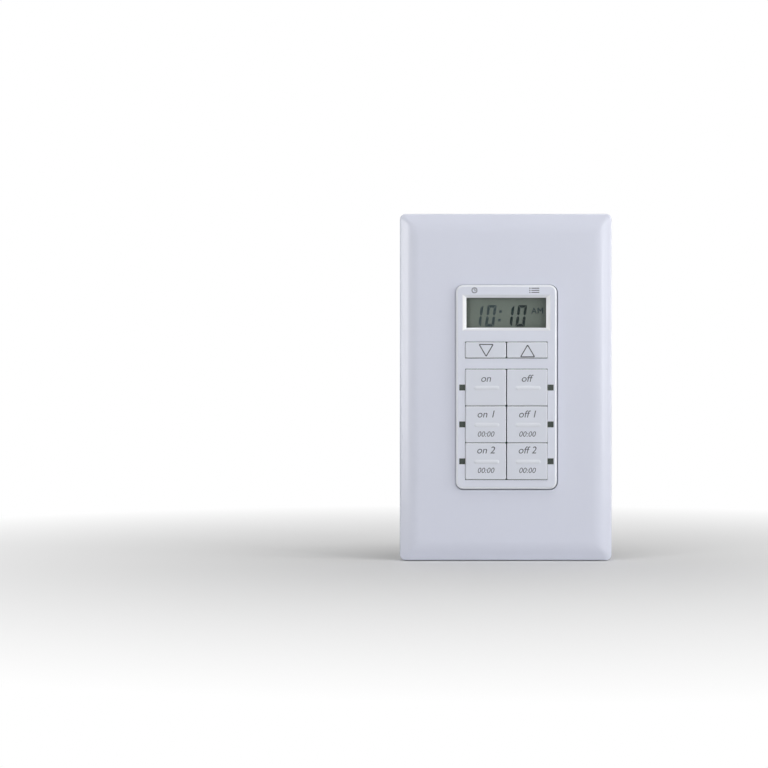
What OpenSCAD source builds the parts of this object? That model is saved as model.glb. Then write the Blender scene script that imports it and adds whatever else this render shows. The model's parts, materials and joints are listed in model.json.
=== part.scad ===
// In-wall digital timer switch with a screwless cover plate.
// Millimetres. +Z is up, the face looks along -Y, the wall surface is the plane Y = 0,
// and +Y runs into the wall. The origin is the centre of the two box screws on the wall surface.

/* [Cover plate] */
// Width of the cover plate
cover_w = 69.85; // [69.8:0.05:80]
// Height of the cover plate
cover_h = 114.3; // [114:0.1:124]
// How far the front of the cover plate stands off the wall
cover_d = 6.6; // [6.4:0.1:8]
// Wall thickness of the cover plate
cover_wall = 1.8; // [1.6:0.1:2]
// Width of the curve that leads from the cover plate's flat face to its slope
cover_blend = 4.2; // [2:0.1:5]
// Width of the slope around the cover plate
cover_slope = 2; // [1:0.1:3]
// Corner radius of the cover plate's outline
cover_corner = 1.8; // [1:0.1:3]

/* [Device face] */
// Width of the device face
face_w = 33.25; // [33:0.05:33.6]
// Height of the device face
face_h = 67.1; // [62:0.1:72]
// How far the face stands proud of the cover plate
face_proud = 1.2; // [1:0.1:2]
// Corner radius of the face's outline
face_corner = 2.4; // [1.6:0.1:3]
// Thickness of the face's front wall
face_wall = 1.8; // [1.6:0.1:2]
// Thickness of the face's side walls
face_side = 1.1; // [1:0.05:1.15]

/* [Keys] */
// Width of each key
key_w = 13.27; // [12.6:0.01:13.3]
// Height of each arrow key
arrow_h = 5.1; // [4.6:0.1:5.4]
// Distance between the display and the arrow keys
arrow_drop = 4.8; // [4.2:0.1:5.4]
// Distance between the arrow keys and the first row of large keys
row_drop = 3.8; // [3.4:0.1:4.6]
// Plain strip of the face below the last row of keys
bottom_strip = 3.2; // [3:0.1:4.4]
// How far the keys stand proud of the face
key_proud = 0.3; // [0.1:0.05:0.8]
// How far the keys travel when pressed
key_travel = 0.5; // [0.3:0.05:0.5]
// Gap above and below each row of keys
key_gap = 0.2; // [0.15:0.01:0.3]
// Gap between the keys and the sides of their wells
side_gap = 0.1; // [0.08:0.01:0.25]
// Gap between the left and right keys
centre_gap = 0.34; // [0.3:0.02:0.4]
// Length of the raised bar on each large key
bar_l = 8.3; // [4:0.1:9]
// Height of the raised bar on each large key
bar_h = 1.5; // [0.8:0.1:2]

/* [Display] */
// Width of the visible display
view_w = 26.2; // [24:0.1:26.4]
// Height of the visible display
view_h = 9.85; // [9:0.05:9.9]
// Plain strip of the face above the display
top_strip = 4.2; // [4:0.1:5]
// Width of the bevel on either side of the display
side_bevel = 1.3; // [0.6:0.1:1.3]
// Width of the bevel above and below the display
end_bevel = 1; // [0.6:0.1:1.2]

/* [Wall box fixing] */
// Distance between the two box screws
box_pitch = 83.34; // [83:0.02:84]
// Distance between the two screws that hold the sub-plate
plate_pitch = 96.84; // [96.4:0.02:97.2]
// Radius of the box screws' thread
box_screw_r = 1.75; // [1.5:0.05:1.9]
// Length of box screw behind the wall surface
box_screw_l = 20; // [12:1:30]

/* [Rear housing] */
// Width of the rear housing
rear_w = 44; // [43.6:0.1:45]
// Height of the rear housing
rear_h = 60; // [59:0.1:60.4]
// Depth of the rear housing behind the wall surface
rear_d = 30; // [29.5:0.5:36]
// Wall thickness of the rear housing
rear_wall = 1.8; // [1.6:0.1:2]
// Radius of the wire tunnels in the terminal blocks
wire_r = 1.6; // [1.3:0.05:1.7]

/* [Hidden] */
$fn = 64;

// Clearances, each named for the fit it makes
slide_gap = 0.2;
opening_gap = 0.22;
seat_gap = 0.15;
thread_gap = 0.05;
light_gap = 0.03;
wire_gap = 0.3;
clamp_gap = 0.3;

// How far cuts run past a surface, and how far joined shapes run into each other
past = 1;
weld = 0.2;

// Slots in the screw heads, their length as a share of the head
head_slot_share = 0.8;
head_slot_w = 0.9;
head_slot_d = 0.7;
clamp_slot_w = 0.8;
clamp_slot_d = 0.6;

// Sheet and board thicknesses
yoke_t = 1.2;
board_t = 1.2;
power_t = 1.6;
flange_t = 2;
sub_t = 2;

// Levels along Y, from the wall surface outwards
yoke_front = -yoke_t;
board_front = yoke_front - board_t;
flange_front = yoke_front - flange_t;
sub_front = yoke_front - sub_t;
cover_ceiling = cover_wall - cover_d;
face_y = -cover_d - face_proud;
face_inner = face_y + face_wall;
key_y = face_y - key_proud;

// Cover plate
cover_edge_r = 0.7;
cover_slope_angle = 22;
cover_steps = 8;
cover_least_r = 1;
cover_inner_r = 1;
opening_w = face_w + 2 * opening_gap;
opening_h = face_h + 2 * opening_gap;
opening_shift = 0.1;
tab_t = 1.6;
tab_w = 8;
tab_end = -0.6;
tab_side = 3.7;
tab_far = 10;

// Device face
face_edge_r = 0.9;
face_steps = 5;
inner_corner = 1;
board_corner = 1;
flange_corner = 3;
inner_w = face_w - 2 * face_side;
inner_h = face_h - 2 * face_side;
flange_lip = 0.95;
flange_w = 43;
flange_h = face_h + 2 * flange_lip;
board_ledge = 0.6;
board_w = inner_w + 2 * board_ledge;
board_h = inner_h + 2 * board_ledge;

// Sub-plate
sub_w = cover_w - 2 * cover_wall - 4 * slide_gap;
sub_h = cover_h - 2 * cover_wall - 4 * slide_gap;
sub_corner = 3;
sub_room = 0.75;
sub_opening_corner = 2;
sub_opening_w = flange_w + 2 * sub_room;
sub_opening_h = flange_h + 2 * sub_room;
tab_x = sub_w / 2 - tab_side;
tab_z = sub_h / 2 - tab_far;
plate_screw_r = 1.75;
plate_head_r = 3.1;
plate_head_h = 1.6;
plate_sink = 0.8;
plate_screw_end = 3;

// Yoke
frame_w = 43.5;
frame_lip = 0.5;
frame_h = flange_h + 2 * frame_lip;
frame_corner = 2;
ear_w = 28;
ear_h = 106;
ear_corner = 4;
window_w = inner_w;
window_h = 55;
window_corner = 1;
slot_l = 8;
slot_room = 0.45;
slot_r = box_screw_r + slot_room;
score_gap = 1.4;
score_z = frame_h / 2 + score_gap;
score_w = 0.5;
score_d = 0.3;

// Box screws
box_head_r = 3.3;
box_head_h = 1.9;
neck_relief = 0.15;
box_neck_r = box_screw_r - neck_relief;
box_hole_room = 1.7;
box_hole_r = box_head_r + box_hole_room;

// Earth screw on the tab that is bent back from the yoke
tab_gap = 0.6;
tab_h = 6.4;
tab_high = -rear_h / 2 - tab_gap;
tab_low = tab_high - tab_h;
tab_back = 9;
ground_y = 5.2;
ground_z = (tab_low + tab_high) / 2;
ground_r = 1.75;
ground_head_r = 3;
ground_head_h = 2;
ground_l = 6;

// Keys
well_w = 2 * key_w + centre_gap + 2 * side_gap;
key_x = (key_w + centre_gap) / 2;
view_z = face_h / 2 - top_strip - view_h / 2;
arrow_z = view_z - view_h / 2 - arrow_drop - arrow_h / 2;
rows_top = arrow_z - arrow_h / 2 - row_drop;
key_pitch = (rows_top + face_h / 2 - bottom_strip + key_gap) / 3;
key_h = key_pitch - key_gap;
row_z = rows_top - key_h / 2;
row_2_z = row_z - key_pitch;
row_3_z = row_z - 2 * key_pitch;
rows = [row_z, row_2_z, row_3_z];
key_wall = 1.2;
key_corner = 0.4;
key_edge_r = 0.3;
key_steps = 4;
bar_rise = 0.2;
bar_r = (bar_h * bar_h / 4 + bar_rise * bar_rise) / (2 * bar_rise);
bar_shift = 0.3;
bar_drop = 0.15;
lip_w = 0.9;
lip_t = 1;
lip_rest = 0.05;
lip_front = face_inner + lip_rest;
lip_clear = 0.5;
lip_end = 0.8;
arrow_lip = 3.2;
centres = [
    [-key_x, arrow_z], [key_x, arrow_z],
    for (z = rows) each [[-key_x, z], [key_x, z]]
];

// Tact switches under the keys
tact_w = 6;
tact_h = 1.8;
tact_front = board_front - tact_h;
tact_lid = 0.25;
tact_base = 0.2;
tact_floor = board_front - tact_base;
plunger_r = 1.75;
plunger_rise = 0.7;
plunger_top = tact_front - plunger_rise;
rim_gap = 0.1;
key_back = plunger_top - rim_gap;
plunger_gap = 0.1;
foot_r = 2.4;
foot_gap = 0.05;
foot_front = tact_front + tact_lid + foot_gap;
foot_t = 0.35;
well_r = foot_r + slide_gap;
dome_h = tact_floor - (foot_front + foot_t) - key_travel - foot_gap;
dome_r = 2.2;
stem_r = 1.3;

// Status lights
led_w = 1.9;
led_x = well_w / 2 + led_w / 2 + light_gap;
led_h = 1.2;
led_top = board_front - led_h;
chip_w = 1.6;
rail_t = 0.6;
rail_w = 1.4;
pipe_sunk = 0.05;
pipe_y = face_y + pipe_sunk;

// Display stack
recess_d = 0.9;
pane_y = face_y + recess_d;
pane_lap = 1.4;
pane_w = view_w + 2 * pane_lap;
pane_h = view_h + 2 * pane_lap;
pane_corner = 0.6;
glass_t = 0.7;
glass_lap = 0.9;
glass_ledge = 1.65;
rear_glass_lap = 0.05;
front_glass_w = view_w + 2 * glass_lap;
front_glass_h = view_h + 2 * glass_ledge;
rear_glass_h = view_h + 2 * rear_glass_lap;
rear_glass_y = face_inner + glass_t;
reflector_y = rear_glass_y + glass_t;
reflector_t = 0.3;
backlight_y = reflector_y + reflector_t;
backlight_lap = 0.55;
backlight_w = view_w + 2 * backlight_lap;
backlight_corner = 0.5;
zebra_w = 1.35;
zebra_l = view_w;
zebra_z = rear_glass_h / 2 + seat_gap + zebra_w / 2;
holder_gap = 0.2;
holder_wall = 1;
holder_corner = 1;
holder_in_w = front_glass_w + 2 * holder_gap;
holder_in_h = front_glass_h + 2 * holder_gap;
holder_w = holder_in_w + 2 * holder_wall;
holder_h = holder_in_h + 2 * holder_wall;

// Case screws, which run from the back through the yoke into bosses on the flange
case_x = 18.6;
case_z = 25.8;
case_r = 1.4;
case_head_r = 2.4;
case_head_h = 1.8;
case_sink = 2.4;
case_seat = rear_d - case_sink;
post_r = 3.3;
boss_r = 2.6;
boss_rise = 1.1;
boss_cap = 0.7;
boss_front = flange_front - boss_rise;
case_tip = boss_front + boss_cap;

// Rear housing and power board
rear_floor = rear_d - rear_wall;
rear_in_w = rear_w - 2 * rear_wall;
rear_in_h = rear_h - 2 * rear_wall;
rear_corner = 3;
power_lift = 9.2;
power_back = rear_floor - power_lift;
power_front = power_back - power_t;
power_gap = 0.4;
power_w = rear_in_w - 2 * power_gap;
power_h = rear_in_h - 2 * power_gap;
notch_x = case_x - post_r - power_gap;
notch_z = case_z - post_r - power_gap;
stand_x = 11;
stand_z = 23;
stand_r = 2.2;
board_screw_r = 1;
board_head_r = 1.9;
board_head_h = 1.3;
board_screw_bite = 6;
board_screw_end = power_back + board_screw_bite;
drill_tip = 0.5;

// Terminals
block_w = 7;
block_x = rear_in_w / 2 - block_w / 2;
block_z = 11;
tunnel_shift = 0.3;
tunnel_x = block_x - tunnel_shift;
tunnel_d = 7;
tunnel_end = rear_floor - tunnel_d;
clamp_drop = 4.2;
clamp_y = rear_floor - clamp_drop;
clamp_r = 1.45;
clamp_head_r = 2.6;
clamp_head_h = 1.5;
clamp_lift = 0.25;
clamp_tip = tunnel_x + wire_r + clamp_gap;
clamp_top = rear_in_w / 2 + clamp_lift;

// Header between the two boards
pin_count = 6;
pin_pitch = 2.54;
pin_w = 0.64;
header_z = 22;
header_w = pin_count * pin_pitch;
header_h = 2.5;
pin_tail = 1;
pin_end = power_back + pin_tail;

// Parts on the back of the control board
chip_side = 9;
chip_t = 1.4;
chip_at = [-7, 9];
crystal_r = 1.5;
crystal_l = 6;
crystal_at = [8, 13];
cell_r = 10;
cell_t = 3.2;
cell_at = [3.4, -10];
clip_t = 0.4;
clip_w = 5;
clip_x = cell_r + seat_gap;

// Parts on the front of the power board
relay_w = 15.4;
relay_l = 19.2;
relay_h = 15;
relay_corner = 0.8;
relay_at = [-10.8, 8];
film_w = 8.5;
film_l = 18;
film_h = 14.2;
film_corner = 0.6;
film_at = [13.5, 8];
can_r = 4;
can_h = 11.5;
can_x = [5, 14.5];
can_z = -12;
disc_r = 5;
disc_t = 4;
disc_lift = 1;
disc_leg = 2.5;
disc_leg_w = 0.8;
disc_at = [-11, -12];

// A sloped edge as pairs of inset and drop: a wide arc, a straight slope, then a small arc
function sloped_edge(blend, slope, angle, small, n) =
    let (
        wide = blend / sin(angle),
        inset = blend + slope + small * (1 - sin(angle)),
        drop = wide * (1 - cos(angle)) + slope * tan(angle)
    )
    concat(
        [for (i = [0:n])
            let (a = angle * i / n)
            [inset - wide * sin(a), wide * (1 - cos(a))]],
        [for (i = [0:n])
            let (a = angle + (90 - angle) * i / n)
            [small * (1 - sin(a)), drop + small * (cos(angle) - cos(a))]]
    );

// A plain quarter round, as pairs of inset and drop
function round_edge(r, n) = [for (i = [0:n]) [r * (1 - sin(90 * i / n)), r * (1 - cos(90 * i / n))]];

// Places what follows at a point of the face
module at(x, z) {
    translate([x, 0, z]) children();
}

// Repeats what follows in the four quarters of the face
module in_quarters(x, z) {
    for (sx = [-1, 1], sz = [-1, 1]) at(sx * x, sz * z) children();
}

// Repeats what follows above and below the centre
module above_and_below(z) {
    for (sz = [-1, 1]) at(0, sz * z) children();
}

// A rectangle with rounded corners
module rounded_rect(w, h, r) {
    square([w - 2 * r, h], center = true);
    square([w, h - 2 * r], center = true);
    for (sx = [-1, 1], sy = [-1, 1])
        translate([sx * (w / 2 - r), sy * (h / 2 - r)]) circle(r);
}

// A slab with rounded corners between two levels along Y
module slab(w, h, r, y0, y1) {
    translate([0, y1, 0]) rotate([90, 0, 0]) linear_extrude(y1 - y0) rounded_rect(w, h, r);
}

// A plain block between two levels along Y
module block(w, h, y0, y1) {
    translate([-w / 2, y0, -h / 2]) cube([w, y1 - y0, h]);
}

// A round rod between two levels along Y
module rod(r, y0, y1) {
    translate([0, y1, 0]) rotate([90, 0, 0]) cylinder(r = r, h = y1 - y0);
}

// A round rod along X between two places
module cross_rod(r, x0, x1, y) {
    translate([x0, y, 0]) rotate([0, 90, 0]) cylinder(r = r, h = x1 - x0);
}

// A slab whose front edge is shaped by pairs of inset and drop, with corners of a least radius
module shaped_slab(w, h, r, y_front, y_back, edge, least = 0.2) {
    hull()
        for (p = edge)
            slab(w - 2 * p[0], h - 2 * p[0], max(r - p[0], least), y_front + p[1], y_back, $fn = 32);
}

// A screw along Y with a slotted round head, head towards -Y
module pan_screw(head_r, head_h, r, y_seat, y_tip) {
    difference() {
        rod(head_r, y_seat - head_h, y_seat);
        block(2 * head_slot_share * head_r, head_slot_w,
            y_seat - head_h - past, y_seat - head_h + head_slot_d);
    }
    rod(r, y_seat, y_tip);
}

module cover_plate() {
    color([0.93, 0.94, 0.96]) {
        difference() {
            shaped_slab(cover_w, cover_h, cover_corner, -cover_d, 0,
                sloped_edge(cover_blend, cover_slope, cover_slope_angle, cover_edge_r, cover_steps),
                cover_least_r);
            slab(cover_w - 2 * cover_wall, cover_h - 2 * cover_wall, cover_inner_r, cover_ceiling, past);
            translate([opening_shift, 0, -opening_shift])
                slab(opening_w, opening_h, face_corner + opening_gap, -cover_d - past, past);
        }
        in_quarters(tab_x, tab_z) block(tab_t, tab_w, cover_ceiling - weld, tab_end);
    }
}

module sub_plate() {
    color([0.85, 0.86, 0.88])
    difference() {
        slab(sub_w, sub_h, sub_corner, sub_front, yoke_front);
        slab(sub_opening_w, sub_opening_h, sub_opening_corner, sub_front - past, yoke_front + past);
        above_and_below(box_pitch / 2) rod(box_hole_r, sub_front - past, yoke_front + past);
        block(2 * box_hole_r, box_pitch, sub_front - past, yoke_front + past);
        above_and_below(plate_pitch / 2) {
            rod(plate_screw_r + slide_gap, sub_front - past, yoke_front + past);
            rod(plate_head_r + slide_gap, sub_front - past, sub_front + plate_sink);
        }
        in_quarters(tab_x, tab_z)
            block(tab_t + 3 * slide_gap, tab_w + 3 * slide_gap, sub_front - past, yoke_front + past);
    }
}

module sub_plate_screws() {
    color("silver")
    above_and_below(plate_pitch / 2)
        pan_screw(plate_head_r, plate_head_h, plate_screw_r, sub_front + plate_sink, plate_screw_end);
}

module yoke() {
    color([0.72, 0.72, 0.7])
    difference() {
        union() {
            slab(frame_w, frame_h, frame_corner, yoke_front, 0);
            slab(ear_w, ear_h, ear_corner, yoke_front, 0);
            translate([-frame_w / 2, yoke_front, tab_low])
                cube([yoke_t, tab_back - yoke_front, tab_high - tab_low]);
        }
        slab(window_w, window_h, window_corner, yoke_front - past, past);
        above_and_below(box_pitch / 2) {
            for (sx = [-1, 1]) at(sx * (slot_l / 2 - slot_r), 0) rod(slot_r, yoke_front - past, past);
            block(slot_l - 2 * slot_r, 2 * slot_r, yoke_front - past, past);
        }
        above_and_below(plate_pitch / 2) rod(plate_screw_r + thread_gap, yoke_front - past, past);
        in_quarters(case_x, case_z) rod(case_r + seat_gap, yoke_front - past, past);
        above_and_below(score_z) block(ear_w + 2 * past, score_w, -score_d, past);
        at(0, ground_z)
            cross_rod(ground_r + thread_gap, -frame_w / 2 - past, -frame_w / 2 + yoke_t + past, ground_y);
    }
}

module box_screws() {
    color("silver")
    above_and_below(box_pitch / 2) {
        pan_screw(box_head_r, box_head_h, box_neck_r, yoke_front, 0);
        rod(box_screw_r, 0, box_screw_l);
    }
}

module ground_screw() {
    color([0.2, 0.5, 0.25])
    at(0, ground_z)
    difference() {
        union() {
            cross_rod(ground_head_r, -frame_w / 2 - ground_head_h, -frame_w / 2, ground_y);
            cross_rod(ground_r, -frame_w / 2, -frame_w / 2 + ground_l, ground_y);
        }
        translate([-frame_w / 2 - ground_head_h - past, ground_y - head_slot_w / 2,
                -head_slot_share * ground_head_r])
            cube([past + head_slot_d, head_slot_w, 2 * head_slot_share * ground_head_r]);
    }
}

module front_housing() {
    color([0.93, 0.94, 0.96])
    difference() {
        union() {
            shaped_slab(face_w, face_h, face_corner, face_y, yoke_front,
                round_edge(face_edge_r, face_steps));
            slab(flange_w, flange_h, flange_corner, flange_front, yoke_front);
            in_quarters(case_x, case_z) rod(boss_r, boss_front, yoke_front);
        }
        slab(inner_w, inner_h, inner_corner, face_inner, 0);
        slab(board_w + 2 * seat_gap, board_h + 2 * seat_gap, board_corner, board_front, 0);
        in_quarters(case_x, case_z) rod(case_r + thread_gap, case_tip - slide_gap, 0);
        at(0, view_z) {
            hull() {
                block(view_w, view_h, face_y - past, pane_y);
                block(view_w + 2 * side_bevel, view_h + 2 * end_bevel, face_y - past, face_y);
            }
            block(view_w, view_h, face_y, face_inner + past);
            block(pane_w + 2 * seat_gap, pane_h + 2 * seat_gap, pane_y, face_inner + past);
        }
        at(0, arrow_z) block(well_w, arrow_h + 2 * key_gap, face_y - past, face_inner + past);
        at(0, row_2_z) block(well_w, 3 * key_pitch + key_gap, face_y - past, face_inner + past);
        for (z = rows, sx = [-1, 1])
            at(sx * led_x, z)
                block(led_w + 2 * light_gap, led_w + 2 * light_gap, face_y - past, board_front);
    }
}

module display_window() {
    color([0.8, 0.85, 0.85, 0.35])
    at(0, view_z) slab(pane_w, pane_h, pane_corner, pane_y, face_inner);
}

module lcd_front_glass() {
    color([0.55, 0.6, 0.54, 0.6])
    at(0, view_z) block(front_glass_w, front_glass_h, face_inner, rear_glass_y);
}

module lcd_rear_glass() {
    color([0.45, 0.5, 0.44])
    at(0, view_z) block(front_glass_w, rear_glass_h, rear_glass_y, reflector_y);
}

module lcd_reflector() {
    color([0.7, 0.74, 0.68])
    at(0, view_z) block(backlight_w, view_h, reflector_y, backlight_y);
}

module lcd_backlight() {
    color([0.9, 0.92, 0.9])
    at(0, view_z) slab(backlight_w, view_h, backlight_corner, backlight_y, board_front);
}

module lcd_holder() {
    color([0.2, 0.2, 0.21])
    at(0, view_z)
    difference() {
        slab(holder_w, holder_h, holder_corner, face_inner, board_front);
        block(holder_in_w, holder_in_h, face_inner - past, board_front + past);
    }
}

module zebra_strips() {
    color([0.25, 0.25, 0.3])
    at(0, view_z) above_and_below(zebra_z) block(zebra_l, zebra_w, rear_glass_y, board_front);
}

// A hollow key with a stem and, on its outer side, lips that hold it behind the face
module key(side, h, lips) {
    difference() {
        shaped_slab(key_w, h, key_corner, key_y, key_back, round_edge(key_edge_r, key_steps));
        block(key_w - 2 * key_wall, h - 2 * key_wall, key_y + key_wall, key_back + past);
    }
    rod(stem_r, key_y + key_wall - weld, plunger_top);
    for (z = lips)
        at(side * (key_w + lip_w - weld) / 2, (z[0] + z[1]) / 2)
            block(lip_w + weld, z[1] - z[0], lip_front, lip_front + lip_t);
}

// One of the two low arrow keys
module arrow_key(side) {
    color([0.94, 0.95, 0.96])
    at(side * key_x, arrow_z) key(side, arrow_h, [[-arrow_lip / 2, arrow_lip / 2]]);
}

// One of the six large keys, with its raised bar
module large_key(side, z) {
    lip_in = led_w / 2 + lip_clear;
    lip_out = key_h / 2 - lip_end;
    color([0.94, 0.95, 0.96])
    at(side * key_x, z) {
        key(side, key_h, [[lip_in, lip_out], [-lip_out, -lip_in]]);
        at(bar_shift, -bar_drop)
        intersection() {
            block(bar_l + 2 * past, bar_h + 2 * past, key_y - bar_rise - past, key_y + key_wall - weld);
            translate([0, key_y - bar_rise + bar_r, 0]) {
                rotate([0, 90, 0]) cylinder(r = bar_r, h = bar_l - bar_h, center = true);
                for (sx = [-1, 1]) translate([sx * (bar_l - bar_h) / 2, 0, 0]) sphere(bar_r);
            }
        }
    }
}

module key_down() { arrow_key(-1); }
module key_up() { arrow_key(1); }
module key_on() { large_key(-1, row_z); }
module key_off() { large_key(1, row_z); }
module key_on_time_1() { large_key(-1, row_2_z); }
module key_off_time_1() { large_key(1, row_2_z); }
module key_on_time_2() { large_key(-1, row_3_z); }
module key_off_time_2() { large_key(1, row_3_z); }

// The plunger of one tact switch
module plunger(side, z) {
    color([0.12, 0.12, 0.13])
    at(side * key_x, z) {
        rod(plunger_r, plunger_top, foot_front);
        rod(foot_r, foot_front, foot_front + foot_t);
    }
}

module plunger_down() { plunger(-1, arrow_z); }
module plunger_up() { plunger(1, arrow_z); }
module plunger_on() { plunger(-1, row_z); }
module plunger_off() { plunger(1, row_z); }
module plunger_on_time_1() { plunger(-1, row_2_z); }
module plunger_off_time_1() { plunger(1, row_2_z); }
module plunger_on_time_2() { plunger(-1, row_3_z); }
module plunger_off_time_2() { plunger(1, row_3_z); }

module switch_bodies() {
    color([0.2, 0.2, 0.22])
    for (c = centres)
        at(c[0], c[1])
        difference() {
            block(tact_w, tact_w, tact_front, board_front);
            rod(well_r, tact_front + tact_lid, tact_floor);
            rod(plunger_r + plunger_gap, tact_front - past, tact_floor);
        }
}

module contact_domes() {
    color([0.75, 0.75, 0.72])
    for (c = centres)
        at(c[0], c[1])
            translate([0, tact_floor, 0])
                rotate([90, 0, 0])
                    cylinder(r1 = dome_r, r2 = dome_r / 2, h = dome_h);
}

// Three square rods on a rail, from the lights to the face
module light_pipe(side) {
    color([0.3, 0.34, 0.31])
    at(side * led_x, 0) {
        for (z = rows) at(0, z) block(led_w, led_w, pipe_y, led_top);
        at(0, row_2_z) block(rail_w, 2 * key_pitch, led_top - rail_t, led_top);
    }
}

module light_pipe_left() { light_pipe(-1); }
module light_pipe_right() { light_pipe(1); }

module status_leds() {
    color([0.9, 0.9, 0.8])
    for (z = rows, sx = [-1, 1]) at(sx * led_x, z) block(chip_w, chip_w, led_top, board_front);
}

// The square holes or pins of the header between the boards
module header_row(w, y0, y1) {
    for (i = [0:pin_count - 1]) at((i - (pin_count - 1) / 2) * pin_pitch, header_z) block(w, w, y0, y1);
}

module control_board() {
    color([0.1, 0.35, 0.2])
    difference() {
        slab(board_w, board_h, board_corner, board_front, yoke_front);
        header_row(pin_w + 2 * thread_gap, board_front - past, yoke_front + past);
    }
}

module controller_chip() {
    color([0.12, 0.12, 0.13])
    at(chip_at[0], chip_at[1]) block(chip_side, chip_side, yoke_front, yoke_front + chip_t);
}

module clock_crystal() {
    color("silver")
    at(crystal_at[0], crystal_at[1])
        translate([0, yoke_front + crystal_r, 0]) cylinder(r = crystal_r, h = crystal_l, center = true);
}

module backup_cell() {
    color("silver")
    at(cell_at[0], cell_at[1]) rod(cell_r, yoke_front, yoke_front + cell_t);
}

module cell_clip() {
    cell_back = yoke_front + cell_t;
    color([0.8, 0.75, 0.55])
    at(cell_at[0], cell_at[1]) {
        block(2 * (clip_x + clip_t), clip_w, cell_back, cell_back + clip_t);
        for (sx = [-1, 1])
            at(sx * (clip_x + clip_t / 2), 0) block(clip_t, clip_w, yoke_front, cell_back + clip_t);
    }
}

module header_strips() {
    color([0.12, 0.12, 0.13])
    difference() {
        at(0, header_z) {
            block(header_w, header_h, yoke_front, yoke_front + header_h);
            block(header_w, header_h, power_front - header_h, power_front);
        }
        header_row(pin_w + 2 * thread_gap, yoke_front - past, power_front + past);
    }
}

module header_pins() {
    color([0.8, 0.7, 0.4])
    header_row(pin_w, board_front, pin_end);
}

module power_board() {
    color([0.1, 0.35, 0.2])
    difference() {
        block(power_w, power_h, power_front, power_back);
        for (sx = [-1, 1], sz = [-1, 1])
            translate([sx > 0 ? notch_x : -power_w, power_front - past, sz > 0 ? notch_z : -power_h])
                cube([power_w - notch_x, power_t + 2 * past, power_h - notch_z]);
        header_row(pin_w + 2 * thread_gap, power_front - past, power_back + past);
        for (s = [-1, 1])
            at(s * stand_x, -s * stand_z)
                rod(board_screw_r + slide_gap, power_front - past, power_back + past);
    }
}

module relay() {
    color([0.1, 0.25, 0.5])
    at(relay_at[0], relay_at[1]) slab(relay_w, relay_l, relay_corner, power_front - relay_h, power_front);
}

module film_capacitor() {
    color([0.75, 0.6, 0.2])
    at(film_at[0], film_at[1]) slab(film_w, film_l, film_corner, power_front - film_h, power_front);
}

module electrolytic_capacitors() {
    color([0.15, 0.16, 0.2])
    for (x = can_x) at(x, can_z) rod(can_r, power_front - can_h, power_front);
}

module varistor() {
    disc_y = power_front - disc_lift - disc_r;
    color([0.2, 0.35, 0.65])
    at(disc_at[0], disc_at[1]) {
        cross_rod(disc_r, -disc_t / 2, disc_t / 2, disc_y);
        above_and_below(disc_leg) block(disc_leg_w, disc_leg_w, disc_y, power_front);
    }
}

module board_screws() {
    color("silver")
    for (s = [-1, 1])
        at(s * stand_x, -s * stand_z)
            pan_screw(board_head_r, board_head_h, board_screw_r, power_front, board_screw_end);
}

module terminal_blocks() {
    color([0.78, 0.64, 0.32])
    for (sx = [-1, 1], sz = [-1, 1])
        at(0, sz * block_z)
        difference() {
            at(sx * block_x, 0) block(block_w, block_w, power_back, rear_floor);
            at(sx * tunnel_x, 0) rod(wire_r, tunnel_end, rear_floor + past);
            mirror([sx < 0 ? 1 : 0, 0, 0])
                cross_rod(clamp_r + thread_gap, tunnel_x, rear_in_w / 2 + past, clamp_y);
        }
}

module terminal_screws() {
    color([0.8, 0.68, 0.4])
    for (sx = [-1, 1], sz = [-1, 1])
        at(0, sz * block_z)
        mirror([sx < 0 ? 1 : 0, 0, 0])
        difference() {
            union() {
                cross_rod(clamp_r, clamp_tip, clamp_top, clamp_y);
                cross_rod(clamp_head_r, clamp_top, clamp_top + clamp_head_h, clamp_y);
            }
            translate([clamp_top + clamp_head_h - clamp_slot_d, clamp_y - clamp_slot_w / 2,
                    -head_slot_share * clamp_head_r])
                cube([clamp_slot_d + past, clamp_slot_w, 2 * head_slot_share * clamp_head_r]);
        }
}

module rear_housing() {
    color([0.16, 0.16, 0.17])
    difference() {
        union() {
            difference() {
                slab(rear_w, rear_h, rear_corner, 0, rear_d);
                slab(rear_in_w, rear_in_h, rear_corner - rear_wall, -past, rear_floor);
            }
            in_quarters(case_x, case_z) rod(post_r, 0, rear_floor + weld);
            for (s = [-1, 1]) at(s * stand_x, -s * stand_z) rod(stand_r, power_back, rear_floor + weld);
        }
        in_quarters(case_x, case_z) {
            rod(case_r + seat_gap, -past, rear_d + past);
            rod(case_head_r + slide_gap, case_seat, rear_d + past);
        }
        for (s = [-1, 1])
            at(s * stand_x, -s * stand_z)
                rod(board_screw_r + thread_gap, power_back - past, board_screw_end + drill_tip);
        in_quarters(tunnel_x, block_z) rod(wire_r + wire_gap, rear_floor - past, rear_d + past);
        for (sz = [-1, 1])
            at(0, sz * block_z)
                cross_rod(clamp_head_r + clamp_gap, -rear_w / 2 - past, rear_w / 2 + past, clamp_y);
    }
}

module case_screws() {
    color("silver")
    in_quarters(case_x, case_z)
    mirror([0, 1, 0])
        pan_screw(case_head_r, case_head_h, case_r, -case_seat, -case_tip);
}

cover_plate();
sub_plate();
sub_plate_screws();
yoke();
box_screws();
ground_screw();
front_housing();
display_window();
lcd_front_glass();
lcd_rear_glass();
lcd_reflector();
lcd_backlight();
lcd_holder();
zebra_strips();
key_down();
key_up();
key_on();
key_off();
key_on_time_1();
key_off_time_1();
key_on_time_2();
key_off_time_2();
plunger_down();
plunger_up();
plunger_on();
plunger_off();
plunger_on_time_1();
plunger_off_time_1();
plunger_on_time_2();
plunger_off_time_2();
switch_bodies();
contact_domes();
light_pipe_left();
light_pipe_right();
status_leds();
control_board();
controller_chip();
clock_crystal();
backup_cell();
cell_clip();
header_strips();
header_pins();
power_board();
relay();
film_capacitor();
electrolytic_capacitors();
varistor();
board_screws();
terminal_blocks();
terminal_screws();
rear_housing();
case_screws();
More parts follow.
